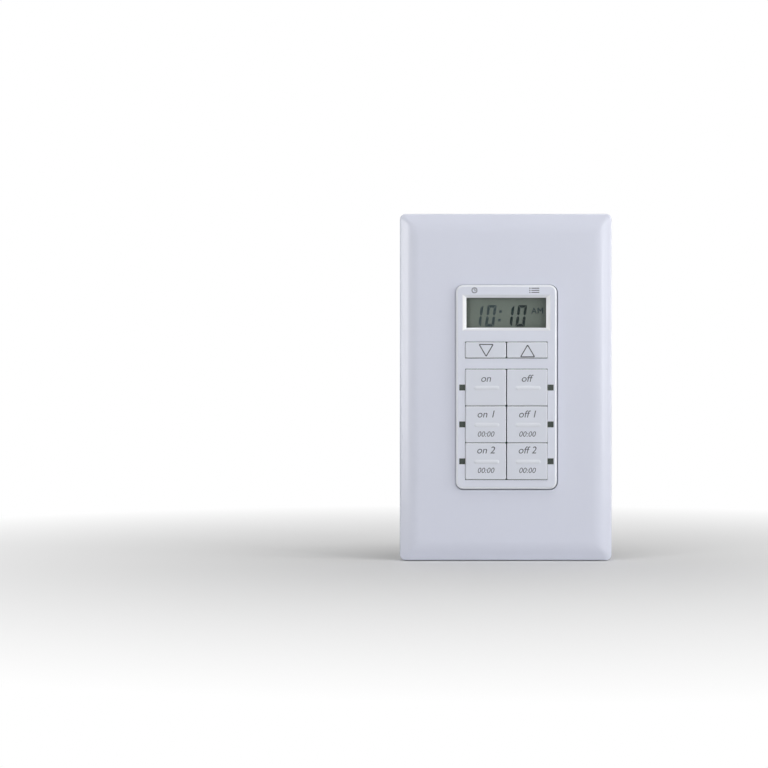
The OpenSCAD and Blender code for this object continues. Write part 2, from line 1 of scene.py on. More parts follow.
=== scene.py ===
"""Looks of an in-wall digital timer switch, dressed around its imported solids."""

import json
import logging
import math
from dataclasses import dataclass
from enum import Enum
from typing import Callable, Iterable, Sequence

import bmesh
import bpy
from mathutils import Matrix, Vector

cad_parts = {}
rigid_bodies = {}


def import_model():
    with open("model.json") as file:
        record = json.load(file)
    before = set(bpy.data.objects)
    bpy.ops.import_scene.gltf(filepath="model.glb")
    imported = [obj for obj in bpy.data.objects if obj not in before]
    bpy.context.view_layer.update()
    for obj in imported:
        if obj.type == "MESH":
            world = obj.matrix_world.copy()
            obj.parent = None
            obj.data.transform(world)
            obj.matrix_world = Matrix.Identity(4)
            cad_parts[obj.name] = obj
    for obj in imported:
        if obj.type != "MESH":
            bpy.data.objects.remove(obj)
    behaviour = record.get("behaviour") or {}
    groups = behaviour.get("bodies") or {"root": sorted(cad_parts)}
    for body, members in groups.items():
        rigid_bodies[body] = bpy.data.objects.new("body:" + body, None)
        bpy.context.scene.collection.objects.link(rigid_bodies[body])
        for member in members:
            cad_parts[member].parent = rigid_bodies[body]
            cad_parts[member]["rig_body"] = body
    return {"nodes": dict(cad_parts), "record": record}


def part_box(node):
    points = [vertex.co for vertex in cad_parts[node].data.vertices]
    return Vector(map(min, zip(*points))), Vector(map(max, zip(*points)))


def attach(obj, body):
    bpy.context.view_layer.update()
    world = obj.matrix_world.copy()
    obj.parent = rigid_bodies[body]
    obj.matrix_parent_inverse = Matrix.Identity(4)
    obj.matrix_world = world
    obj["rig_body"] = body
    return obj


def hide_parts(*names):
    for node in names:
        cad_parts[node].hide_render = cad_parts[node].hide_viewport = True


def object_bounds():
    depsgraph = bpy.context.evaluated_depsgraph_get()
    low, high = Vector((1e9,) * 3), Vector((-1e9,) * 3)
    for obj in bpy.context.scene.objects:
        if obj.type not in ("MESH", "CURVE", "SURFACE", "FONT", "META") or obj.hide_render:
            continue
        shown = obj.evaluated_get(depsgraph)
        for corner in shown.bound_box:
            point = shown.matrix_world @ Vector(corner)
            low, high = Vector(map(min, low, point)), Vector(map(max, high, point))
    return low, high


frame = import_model()
solid_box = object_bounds()

LOG = logging.getLogger("timer_switch")

Colour = tuple[float, float, float]
Axes = tuple[float, float, float]
Point = tuple[float, float]
Stops = tuple[Point, Point]
Rim = list[bmesh.types.BMVert]

MM = 0.001
MICRON = 0.000001
TOUCH = 0.1 * MICRON
NEAR = 10 * MICRON
EVEN: Axes = (1.0, 1.0, 1.0)
PAPER_WHITE = (1.0, 1.0, 1.0, 1.0)
NOISE_MEAN = 0.5
PLASTIC_IOR = 1.49

# Faces that meet below the first angle are joined, and edges above the others stay sharp
FLAT_DEGREES = 0.4
SHARP_DEGREES = 32.0
THREAD_DEGREES = 40.0

# The Y of a face's normal where it counts as front, as side, and as square to the back
FRONT_Y = -0.95
SIDE_Y = -0.2
SQUARE_Y = 0.1

# Pieces in the arc of a rounded edge, a rounded corner, a stroke's end and a letter's curve
EDGE_STEPS = 4
CORNER_STEPS = 5
STROKE_STEPS = 6
LETTER_STEPS = 4


class Wire:
    """An output socket of a shader node that takes part in Python arithmetic."""

    def __init__(self, graph: "Graph", socket: bpy.types.NodeSocket | None) -> None:
        """Keep the graph and the socket."""
        self.graph = graph
        self.socket = socket

    def _math(self, operation: str, first: "Wire | float", second: "Wire | float") -> "Wire":
        """Add one Math node on two values."""
        return self.graph.node("ShaderNodeMath", {"operation": operation}, {0: first, 1: second})

    def __add__(self, other: "Wire | float") -> "Wire":
        """Sum of two values."""
        return self._math("ADD", self, other)

    def __radd__(self, other: float) -> "Wire":
        """Sum of a number and a value."""
        return self._math("ADD", other, self)

    def __sub__(self, other: "Wire | float") -> "Wire":
        """Difference of two values."""
        return self._math("SUBTRACT", self, other)

    def __rsub__(self, other: float) -> "Wire":
        """A number less a value."""
        return self._math("SUBTRACT", other, self)

    def __mul__(self, other: "Wire | float") -> "Wire":
        """Product of two values."""
        return self._math("MULTIPLY", self, other)

    def __rmul__(self, other: float) -> "Wire":
        """Product of a number and a value."""
        return self._math("MULTIPLY", other, self)

    def highest(self, other: "Wire | float") -> "Wire":
        """The larger of two values."""
        return self._math("MAXIMUM", self, other)


class Graph:
    """The shader nodes of one material or of the world."""

    def __init__(self, tree: bpy.types.NodeTree) -> None:
        """Start with an empty tree."""
        tree.nodes.clear()
        self.tree = tree

    def node(
        self,
        kind: str,
        settings: dict[str, object] | None = None,
        sockets: dict[int | str, object] | None = None,
        out: int | str = 0,
    ) -> Wire:
        """Add one node.

        Args:
            kind: the node's type.
            settings: its own properties, set first, with "stops" for a ramp's stops.
            sockets: a value or a wire for each input that is used.
            out: the output that is wanted.

        Returns:
            The wire of that output, empty for a node that has none.
        """
        made = self.tree.nodes.new(kind)
        for key, value in (settings or {}).items():
            if key == "stops":
                self._set_stops(made.color_ramp, value)
            else:
                setattr(made, key, value)
        for key, value in (sockets or {}).items():
            if isinstance(value, Wire):
                self.tree.links.new(value.socket, made.inputs[key])
            else:
                made.inputs[key].default_value = value
        return Wire(self, made.outputs[out] if made.outputs else None)

    @staticmethod
    def _set_stops(ramp: bpy.types.ColorRamp, stops: Stops) -> None:
        """Give a ramp its two grey stops.

        Args:
            ramp: the ramp.
            stops: the place and the level of each stop.
        """
        for element, (place, level) in zip(ramp.elements, stops):
            element.position = place
            element.color = (level, level, level, 1.0)

    def place(self, stretch: Axes = EVEN) -> Wire:
        """Position on the object.

        Args:
            stretch: what the position is multiplied by along each axis.

        Returns:
            The position in metres, stretched.
        """
        spot = self.node("ShaderNodeTexCoord", out="Object")
        if stretch == EVEN:
            return spot
        return self.node("ShaderNodeVectorMath", {"operation": "MULTIPLY"}, {0: spot, 1: stretch})

    def noise(self, grain_mm: float, detail: float = 2.0, stretch: Axes = EVEN) -> Wire:
        """Smooth noise.

        Args:
            grain_mm: size of its features in millimetres.
            detail: how many finer layers it has.
            stretch: what the position is multiplied by along each axis.

        Returns:
            Noise from 0 to 1.
        """
        scale = 1.0 / (grain_mm * MM)
        sockets = {"Vector": self.place(stretch), "Scale": scale, "Detail": detail}
        return self.node("ShaderNodeTexNoise", sockets=sockets)

    def ramp(self, value: Wire, stops: Stops) -> Wire:
        """Pass a value through grey stops."""
        return self.node("ShaderNodeValToRGB", {"stops": stops}, {"Fac": value})

    def blend(self, factor: Wire, first: Colour, second: Colour) -> Wire:
        """Mix two colours, which a Mix node takes at its inputs 6 and 7 and gives at its output 2."""
        sockets = {0: factor, 6: (*first, 1.0), 7: (*second, 1.0)}
        return self.node("ShaderNodeMix", {"data_type": "RGBA"}, sockets, 2)

    def bump(self, height: Wire, depth_um: float) -> Wire:
        """Turn a height into a surface normal."""
        sockets = {"Strength": 1.0, "Distance": depth_um * MICRON, "Height": height}
        return self.node("ShaderNodeBump", sockets=sockets)

    def principled(self, **sockets: object) -> Wire:
        """Add the main shader, its sockets written with underscores for spaces."""
        named = {key.replace("_", " "): value for key, value in sockets.items()}
        return self.node("ShaderNodeBsdfPrincipled", sockets=named)


def shade(colour: Colour, share: float) -> Colour:
    """A colour made lighter or darker by a share."""
    red, green, blue = (min(1.0, channel * share) for channel in colour)
    return red, green, blue


@dataclass(frozen=True)
class Finish:
    """What every finish has: a name, a main colour and a mean roughness."""

    name: str
    colour: Colour
    roughness: float

    def material(self) -> bpy.types.Material:
        """Make the material, or find it where it is made already.

        Returns:
            The Blender material of this finish.
        """
        found = bpy.data.materials.get(self.name)
        if found is not None:
            return found
        made = bpy.data.materials.new(self.name)
        made.use_nodes = True
        made.diffuse_color = (*self.colour, 1.0)
        graph = Graph(made.node_tree)
        graph.node("ShaderNodeOutputMaterial", sockets={"Surface": self.surface(graph)})
        return made

    def tint(self, graph: Graph, level: Wire, low: float, high: float) -> Wire:
        """The main colour, from one share of it to another as a level goes from 0 to 1."""
        return graph.blend(level, shade(self.colour, low), shade(self.colour, high))

    def rough(self, pattern: Wire, swing: float) -> Wire:
        """The mean roughness with a pattern's swing about it."""
        return self.roughness + (pattern - NOISE_MEAN) * swing

    def surface(self, graph: Graph) -> Wire:
        """The shader of the finish; each kind of finish has its own."""
        raise NotImplementedError


@dataclass(frozen=True)
class MouldedPlastic(Finish):
    """Moulded plastic with a fine spark-eroded grain and faint flow marks."""

    grain_mm: float = 0.16
    grain_um: float = 6.0
    grain_roughness: float = 0.10
    flow_mm: float = 14.0
    flow_along: Axes = (1.0, 1.0, 0.4)
    flow_share: float = 0.012

    def surface(self, graph: Graph) -> Wire:
        """Fine grain in the normal and the roughness, flow marks in the colour.

        Args:
            graph: the material's nodes.

        Returns:
            The finished shader.
        """
        grain = graph.noise(self.grain_mm, detail=3.0)
        flow = graph.noise(self.flow_mm, stretch=self.flow_along)
        return graph.principled(
            Base_Color=self.tint(graph, flow, 1 - self.flow_share, 1 + self.flow_share),
            Roughness=self.rough(grain, self.grain_roughness),
            Normal=graph.bump(grain, self.grain_um),
            IOR=PLASTIC_IOR,
        )


@dataclass(frozen=True)
class PlatedMetal(Finish):
    """Plated or bare metal with rolling lines and small stains."""

    line_mm: float = 0.25
    line_um: float = 4.0
    line_along: Axes = (1.0, 1.0, 0.06)
    line_roughness: float = 0.16
    stain_mm: float = 5.0
    stain_stops: Stops = ((0.35, 0.0), (0.7, 1.0))
    stain_share: float = 0.12
    stain_roughness: float = 0.08

    def surface(self, graph: Graph) -> Wire:
        """Lines in the normal and the roughness, stains in the colour.

        Args:
            graph: the material's nodes.

        Returns:
            The finished shader.
        """
        lines = graph.noise(self.line_mm, detail=3.0, stretch=self.line_along)
        stains = graph.ramp(graph.noise(self.stain_mm, detail=4.0), self.stain_stops)
        return graph.principled(
            Base_Color=self.tint(graph, stains, 1.0, 1 - self.stain_share),
            Roughness=self.rough(lines, self.line_roughness) + stains * self.stain_roughness,
            Normal=graph.bump(lines, self.line_um),
            Metallic=1.0,
        )


@dataclass(frozen=True)
class ClearSheet(Finish):
    """A clear or tinted sheet, seen through, with a faint haze."""

    opacity: float = 0.1
    haze_mm: float = 4.0
    haze_roughness: float = 0.05
    haze_opacity: float = 0.03

    def surface(self, graph: Graph) -> Wire:
        """Mostly see-through, with a haze that varies a little.

        Args:
            graph: the material's nodes.

        Returns:
            The finished shader.
        """
        haze = graph.noise(self.haze_mm)
        return graph.principled(
            Base_Color=(*self.colour, 1.0),
            Roughness=self.rough(haze, self.haze_roughness),
            Alpha=self.opacity + (haze - NOISE_MEAN) * self.haze_opacity,
            IOR=PLASTIC_IOR,
        )


@dataclass(frozen=True)
class DisplayFilm(Finish):
    """The grey-green ground of the display, with the fine lines of its reflector."""

    line_mm: float = 0.12
    line_along: Axes = (0.1, 1.0, 1.0)
    line_roughness: float = 0.15
    patch_mm: float = 7.0
    uneven: float = 0.1
    gloss: float = 0.05

    def surface(self, graph: Graph) -> Wire:
        """Fine reflector lines and a soft unevenness in the colour.

        Args:
            graph: the material's nodes.

        Returns:
            The finished shader.
        """
        lines = graph.noise(self.line_mm, stretch=self.line_along)
        level = 0.5 * (lines + graph.noise(self.patch_mm))
        return graph.principled(
            Base_Color=self.tint(graph, level, 1 - self.uneven, 1 + self.uneven),
            Roughness=self.rough(lines, self.line_roughness),
            Specular_IOR_Level=self.gloss,
        )


@dataclass(frozen=True)
class PrintedInk(Finish):
    """Pad-printed ink with a slightly uneven film."""

    film_mm: float = 0.2
    film_roughness: float = 0.15
    thick: float = 0.85
    thin: float = 1.2
    gloss: float = 0.5

    def surface(self, graph: Graph) -> Wire:
        """Uneven cover in the colour and the roughness.

        Args:
            graph: the material's nodes.

        Returns:
            The finished shader.
        """
        film = graph.noise(self.film_mm, detail=3.0)
        return graph.principled(
            Base_Color=self.tint(graph, film, self.thick, self.thin),
            Roughness=self.rough(film, self.film_roughness),
            Specular_IOR_Level=self.gloss,
        )


@dataclass(frozen=True)
class CircuitBoard(Finish):
    """Solder mask over copper, with tracks that show through as lighter lines."""

    track_colour: Colour = (0.06, 0.24, 0.11)
    track_mm: float = 2.6
    track_stops: Stops = ((0.07, 1.0), (0.10, 0.0))
    disorder: float = 0.6
    weave_mm: float = 0.3
    weave_height: float = 0.2
    weave_roughness: float = 0.12
    relief_um: float = 30.0

    def surface(self, graph: Graph) -> Wire:
        """Tracks from the borders of cells, in colour and height, over the board's weave.

        Args:
            graph: the material's nodes.

        Returns:
            The finished shader.
        """
        settings = {"feature": "DISTANCE_TO_EDGE"}
        scale = 1.0 / (self.track_mm * MM)
        sockets = {"Vector": graph.place(), "Scale": scale, "Randomness": self.disorder}
        edge = graph.node("ShaderNodeTexVoronoi", settings, sockets, "Distance")
        tracks = graph.ramp(edge, self.track_stops)
        weave = graph.noise(self.weave_mm)
        return graph.principled(
            Base_Color=graph.blend(tracks, self.colour, self.track_colour),
            Roughness=self.rough(weave, self.weave_roughness),
            Normal=graph.bump(tracks + self.weave_height * weave, self.relief_um),
        )


WHITE: Colour = (0.716, 0.740, 0.846)
DARK: Colour = (0.025, 0.025, 0.028)

# The finish of each material slot in the record
FINISHES: dict[str, Finish] = {
    "cover_white": MouldedPlastic("moulded_cover", WHITE, 0.22),
    "sub_plate_white": MouldedPlastic("moulded_sub_plate", (0.72, 0.74, 0.78), 0.5),
    "face_white": MouldedPlastic("moulded_face", (0.735, 0.762, 0.855), 0.30),
    "key_white": MouldedPlastic("moulded_keys", (0.718, 0.745, 0.822), 0.34),
    "rear_black": MouldedPlastic(
        "moulded_rear", DARK, 0.5, grain_mm=0.3, grain_um=22.0, flow_share=0.15
    ),
    "black_plastic": MouldedPlastic("moulded_black", DARK, 0.42),
    "plunger_black": MouldedPlastic("moulded_plunger", (0.02, 0.02, 0.022), 0.4),
    "relay_blue": MouldedPlastic("moulded_relay", (0.02, 0.08, 0.30), 0.35),
    "film_yellow": MouldedPlastic("moulded_film_capacitor", (0.55, 0.36, 0.05), 0.4),
    "can_sleeve": MouldedPlastic("shrunk_sleeve", (0.02, 0.025, 0.05), 0.3),
    "varistor_blue": MouldedPlastic(
        "dipped_coating", (0.03, 0.12, 0.42), 0.45, grain_mm=0.5, grain_um=30.0
    ),
    "zebra_rubber": MouldedPlastic("striped_rubber", (0.06, 0.06, 0.09), 0.7),
    "diffuser": MouldedPlastic("milky_diffuser", (0.82, 0.85, 0.82), 0.4),
    "reflector_film": DisplayFilm("brushed_reflector", (0.42, 0.46, 0.40), 0.4),
    "lcd_back": DisplayFilm("display_ground", (0.212, 0.252, 0.220), 0.45),
    "clear_pane": ClearSheet("clear_window", (0.30, 0.32, 0.32), 0.08, opacity=0.025),
    "lcd_glass": ClearSheet("polarised_glass", (0.10, 0.12, 0.09), 0.1, opacity=0.04),
    "smoke_pipe": MouldedPlastic("smoked_light_pipe", (0.062, 0.076, 0.066), 0.16, grain_um=1.5),
    "led_body": MouldedPlastic("led_package", (0.75, 0.72, 0.55), 0.3),
    "zinc_steel": PlatedMetal("zinc_plate", (0.60, 0.61, 0.62), 0.30, line_along=(1.0, 0.2, 1.0)),
    "yoke_steel": PlatedMetal("rolled_strap", (0.56, 0.56, 0.54), 0.36),
    "earth_green": PlatedMetal("green_screw", (0.05, 0.30, 0.10), 0.38),
    "dome_steel": PlatedMetal("spring_steel", (0.62, 0.61, 0.58), 0.25),
    "bright_can": PlatedMetal("drawn_can", (0.66, 0.66, 0.66), 0.22),
    "contact_brass": PlatedMetal("terminal_brass", (0.66, 0.47, 0.17), 0.30),
    "board_green": CircuitBoard("solder_mask", (0.015, 0.11, 0.05), 0.38),
}

# Finishes of single faces, whose lighter whites are painted highlights, and of what is printed
# Painted highlight: a lighter white on the raised bars of the keys
BAR_HIGHLIGHT_WHITE = MouldedPlastic("bar_painted_highlight", (0.77, 0.795, 0.86), 0.25, grain_um=2.0)
# Painted highlight: a lighter white on the bevels around the display
BEVEL_HIGHLIGHT_WHITE = MouldedPlastic("bevel_painted_highlight", (0.83, 0.85, 0.905), 0.18, grain_um=1.5)
# Painted highlight: a still lighter white on the left and right bevels
SIDE_BEVEL_HIGHLIGHT_WHITE = MouldedPlastic("side_bevel_painted_highlight", (0.95, 0.965, 0.99), 0.45, grain_um=1.5)
# Painted highlight: a lighter white on the rounded edges of the face and the keys
EDGE_HIGHLIGHT_WHITE = MouldedPlastic("edge_painted_highlight", (0.84, 0.86, 0.905), 0.28, grain_um=2.0)
LEGEND_INK = PrintedInk("legend_ink", (0.085, 0.09, 0.10), 0.5)
SEGMENT_INK = PrintedInk("segment_ink", (0.012, 0.026, 0.028), 0.5, gloss=0.0)
FAINT_SEGMENT_INK = PrintedInk("faint_segment_ink", (0.055, 0.082, 0.088), 0.5, gloss=0.0)


def in_scene(name: str, data: bpy.types.ID) -> bpy.types.Object:
    """Make an object and link it to the scene.

    Args:
        name: the object's name.
        data: its mesh, curve, lamp or camera.

    Returns:
        The new object.
    """
    made = bpy.data.objects.new(name, data)
    bpy.context.scene.collection.objects.link(made)
    return made


def new_piece(name: str, mesh: bpy.types.Mesh, finish: Finish, body: str) -> bpy.types.Object:
    """Put a mesh in the scene as a piece that rides on a body.

    Args:
        name: the piece's name.
        mesh: its mesh, in metres in the shared frame.
        finish: what it is made of.
        body: the body that carries it.

    Returns:
        The new object.
    """
    piece = in_scene(name, mesh)
    mesh.materials.clear()
    mesh.materials.append(finish.material())
    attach(piece, body)
    LOG.info("made %s on %s, %d faces", name, body, len(mesh.polygons))
    return piece


def body_of(node: str) -> str:
    """Name of the body that carries a solid."""
    return frame["nodes"][node]["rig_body"]


def slot_of(node: str) -> str:
    """Name of the material slot that the record gives a solid."""
    return next(row["material_slot"] for row in frame["record"]["subparts"] if row["node"] == node)


def front_of(node: str) -> float:
    """Where the front of a solid is along Y."""
    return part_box(node)[0].y


def stand_in(name: str, mesh: bpy.types.Mesh, node: str) -> bpy.types.Object:
    """Show a mesh in place of a solid, with the solid's finish and body.

    Args:
        name: the piece's name.
        mesh: its mesh, in metres in the shared frame.
        node: the solid that it stands for.

    Returns:
        The piece that replaces the solid.
    """
    slot = slot_of(node)
    piece = new_piece(name, mesh, FINISHES[slot], body_of(node))
    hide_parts(node)
    return piece


def to_mesh(shape: bmesh.types.BMesh, name: str) -> bpy.types.Mesh:
    """Turn a shape into a mesh.

    Args:
        shape: the shape; it is freed.
        name: the mesh's name.

    Returns:
        The new mesh.
    """
    mesh = bpy.data.meshes.new(name)
    shape.to_mesh(mesh)
    shape.free()
    return mesh


def smooth(mesh: bpy.types.Mesh, sharp_degrees: float) -> None:
    """Shade a mesh smooth, apart from edges above an angle."""
    mesh.shade_smooth()
    mesh.set_sharp_from_angle(angle=math.radians(sharp_degrees))


def smooth_copy(node: str, edge_r: float = 0.0) -> bpy.types.Object:
    """Show a solid as a copy with joined faces and smooth shading.

    Args:
        node: the solid that the copy stands for.
        edge_r: radius that the outer back edges are rounded to, in millimetres.

    Returns:
        The piece that replaces the solid.
    """
    shape = bmesh.new()
    shape.from_mesh(frame["nodes"][node].data)
    bmesh.ops.remove_doubles(shape, verts=shape.verts, dist=MICRON)
    limit = math.radians(FLAT_DEGREES)
    bmesh.ops.dissolve_limit(shape, angle_limit=limit, verts=shape.verts, edges=shape.edges)
    if edge_r:
        round_back(shape, edge_r)
    mesh = to_mesh(shape, f"{node}_smooth")
    smooth(mesh, SHARP_DEGREES)
    return stand_in(f"{node}_shell", even_normals(mesh), node)


def refinish(
    mesh: bpy.types.Mesh, finish: Finish, chosen: Callable[[bpy.types.MeshPolygon], bool]
) -> None:
    """Give some faces of a mesh their own finish.

    Args:
        mesh: the mesh.
        finish: what these faces look like.
        chosen: says which faces they are.
    """
    mesh.materials.append(finish.material())
    for face in mesh.polygons:
        if chosen(face):
            face.material_index = len(mesh.materials) - 1


def is_sloped(face: bpy.types.MeshPolygon) -> bool:
    """Whether a face lies between the front and the sides."""
    return FRONT_Y < face.normal.y < SIDE_Y


def round_back(shape: bmesh.types.BMesh, edge_r: float) -> None:
    """Round the outer edges of the face that looks along +Y.

    Args:
        shape: the mesh, changed in place.
        edge_r: the radius in millimetres.
    """
    shape.normal_update()
    back = max(vert.co.y for vert in shape.verts)
    verts = [vert for vert in shape.verts if abs(vert.co.y - back) < MICRON]
    rim = []
    for edge in shape.edges:
        walls = [face.normal for face in edge.link_faces if abs(face.normal.y) < SQUARE_Y]
        if len(walls) == 1 and all(vert in verts for vert in edge.verts):
            reach = max(walls[0].dot(vert.co - edge.verts[0].co) for vert in verts)
            if reach < NEAR:
                rim.append(edge)
    offset = edge_r * MM
    bmesh.ops.bevel(shape, geom=rim, offset=offset, segments=EDGE_STEPS, profile=0.5, affect="EDGES")


def even_normals(mesh: bpy.types.Mesh) -> bpy.types.Mesh:
    """Let large flat faces keep their own normals where they meet small round ones.

    Args:
        mesh: a smooth mesh with its sharp edges marked; it is removed.

    Returns:
        The same mesh with weighted normals.
    """
    holder = in_scene(mesh.name, mesh)
    weighted = holder.modifiers.new("weighted", "WEIGHTED_NORMAL")
    weighted.keep_sharp = True
    return settled(holder)


def settled(holder: bpy.types.Object) -> bpy.types.Mesh:
    """Take an object's mesh with its modifiers applied.

    Args:
        holder: the object; it is removed with its own data.

    Returns:
        The mesh.
    """
    graph = bpy.context.evaluated_depsgraph_get()
    found = holder.evaluated_get(graph)
    mesh = bpy.data.meshes.new_from_object(found, preserve_all_data_layers=True, depsgraph=graph)
    data = holder.data
    bpy.data.objects.remove(holder)
    bpy.data.batch_remove([data])
    return mesh


def cut_away(solid: bmesh.types.BMesh, cutter: bmesh.types.BMesh) -> bpy.types.Mesh:
    """Cut one solid out of another.

    Args:
        solid: what is cut; it is freed.
        cutter: what is taken away; it is freed.

    Returns:
        The mesh that is left.
    """
    kept = in_scene("solid", to_mesh(solid, "solid"))
    tool = in_scene("cutter", to_mesh(cutter, "cutter"))
    cut = kept.modifiers.new("cut", "BOOLEAN")
    cut.operation = "DIFFERENCE"
    cut.solver = "EXACT"
    cut.object = tool
    left = settled(kept)
    bpy.data.meshes.remove(settled(tool))
    return left


def band(shape: bmesh.types.BMesh, one: Rim, two: Rim) -> None:
    """Join two rims of as many points by a band of faces.

    Args:
        shape: the mesh that holds the rims.
        one: the first rim.
        two: the second rim.
    """
    for index in range(len(one)):
        after = (index + 1) % len(one)
        shape.faces.new((one[index], one[after], two[after], two[index]))


class FlatWork:
    """Thin flat shapes, drawn in millimetres on a face that looks along -Y, in one mesh."""

    SUNK = 0.01

    def __init__(self, level: float, proud: float = 0.01) -> None:
        """Start an empty mesh on a surface.

        Args:
            level: where the surface is along Y, in metres.
            proud: how far the shapes stand in front of it, in millimetres.
        """
        self.shape = bmesh.new()
        self.front = level - proud * MM
        self.back = level + self.SUNK * MM

    def _rim(self, points: Iterable[Point], level: float) -> Rim:
        """Corner points of an outline at one level."""
        return [self.shape.verts.new((x * MM, level, z * MM)) for x, z in points]

    def polygon(self, points: Sequence[Point]) -> None:
        """Add one filled outline.

        Args:
            points: its corners, anticlockwise.
        """
        front, back = self._rim(points, self.front), self._rim(points, self.back)
        self.shape.faces.new(front)
        self.shape.faces.new(reversed(back))
        band(self.shape, front, back)

    def ring(self, outer: Sequence[Point], inner: Sequence[Point]) -> None:
        """Add the band between two outlines of as many points.

        Args:
            outer: the outer outline.
            inner: the inner outline.
        """
        front_out, front_in = self._rim(outer, self.front), self._rim(inner, self.front)
        back_out, back_in = self._rim(outer, self.back), self._rim(inner, self.back)
        band(self.shape, front_out, front_in)
        band(self.shape, back_in, back_out)
        band(self.shape, back_out, front_out)
        band(self.shape, front_in, back_in)

    def lettering(
        self, words: str, centre: float, base: float, size: float, slant: float, weight: float = 0.0
    ) -> None:
        """Add a line of generic lettering.

        Args:
            words: what it says.
            centre: middle of the line along X.
            base: height of the line the letters stand on.
            size: size of the lettering.
            slant: lean of the letters.
            weight: how far each stroke is thickened on either side.
        """
        curve = bpy.data.curves.new("lettering", "FONT")
        curve.body = words
        curve.size = size * MM
        curve.shear = slant
        curve.offset = weight * MM
        curve.resolution_u = LETTER_STEPS
        curve.extrude = (self.back - self.front) / 2
        mesh = settled(in_scene("lettering", curve))
        across = [vertex.co.x for vertex in mesh.vertices]
        left = centre * MM - (min(across) + max(across)) / 2
        middle = Vector((left, (self.front + self.back) / 2, base * MM))
        mesh.transform(Matrix.Translation(middle) @ Matrix.Rotation(math.pi / 2, 4, "X"))
        self.shape.from_mesh(mesh)
        bpy.data.meshes.remove(mesh)

    def turn_round(self) -> None:
        """Turn everything drawn so far about Z, so that it looks along +Y."""
        bmesh.ops.rotate(self.shape, matrix=Matrix.Rotation(math.pi, 3, "Z"), verts=self.shape.verts)

    def piece(self, name: str, finish: Finish, body: str) -> bpy.types.Object:
        """Close the mesh and put it in the scene.

        Args:
            name: the piece's name.
            finish: what it is printed or moulded in.
            body: the body that carries it.

        Returns:
            The new object.
        """
        bmesh.ops.remove_doubles(self.shape, verts=self.shape.verts, dist=TOUCH)
        bmesh.ops.recalc_face_normals(self.shape, faces=self.shape.faces)
        return new_piece(name, to_mesh(self.shape, name), finish, body)


def rounded_corners(corners: Sequence[Point], radius: float) -> list[Point]:
    """Round the corners of an outline.

    Args:
        corners: the outline, anticlockwise.
        radius: radius of each corner.

    Returns:
        The outline's points.
    """
    points: list[Point] = []
    for index, corner in enumerate(corners):
        here = Vector(corner)
        before = (Vector(corners[index - 1]) - here).normalized()
        after = (Vector(corners[(index + 1) % len(corners)]) - here).normalized()
        half = before.angle(after) / 2
        middle = here + (before + after).normalized() * radius / math.sin(half)
        start = here + before * radius / math.tan(half) - middle
        end = here + after * radius / math.tan(half) - middle
        turn = start.angle_signed(end)
        for step in range(CORNER_STEPS + 1):
            spoke = Matrix.Rotation(-turn * step / CORNER_STEPS, 2) @ start
            points.append(tuple(middle + spoke))
    return points


def circle(x: float, z: float, radius: float, steps: int = 32) -> list[Point]:
    """Points of a circle."""
    turns = [2 * math.pi * step / steps for step in range(steps)]
    return [(x + radius * math.cos(turn), z + radius * math.sin(turn)) for turn in turns]


def bar(start: Point, end: Point, width: float) -> list[Point]:
    """Outline of a straight stroke with rounded ends.

    Args:
        start: middle of its first end.
        end: middle of its second end.
        width: its width.

    Returns:
        Its points, anticlockwise.
    """
    lean = math.atan2(end[1] - start[1], end[0] - start[0])
    turns = [math.pi * step / STROKE_STEPS for step in range(STROKE_STEPS + 1)]
    return [
        (x + width / 2 * math.cos(first + turn), z + width / 2 * math.sin(first + turn))
        for (x, z), first in ((end, lean - math.pi / 2), (start, lean + math.pi / 2))
        for turn in turns
    ]


class Arrow(Enum):
    """Which way an arrow key points."""

    DOWN = -1
    UP = 1


class Segment(Enum):
    """The segments of a digit, apart from the middle one, which noughts and ones don't light."""

    TOP = "top"
    UPPER_RIGHT = "upper right"
    LOWER_RIGHT = "lower right"
    BOTTOM = "bottom"
    LOWER_LEFT = "lower left"
    UPPER_LEFT = "upper left"


DIGITS: dict[str, tuple[Segment, ...]] = {
    "0": tuple(Segment),
    "1": (Segment.UPPER_RIGHT, Segment.LOWER_RIGHT),
}


@dataclass
class CoverPlate:
    """The screwless cover plate."""

    node: str = "cover_plate"

    def dress(self) -> None:
        """Show the plate with smooth slopes."""
        smooth_copy(self.node)


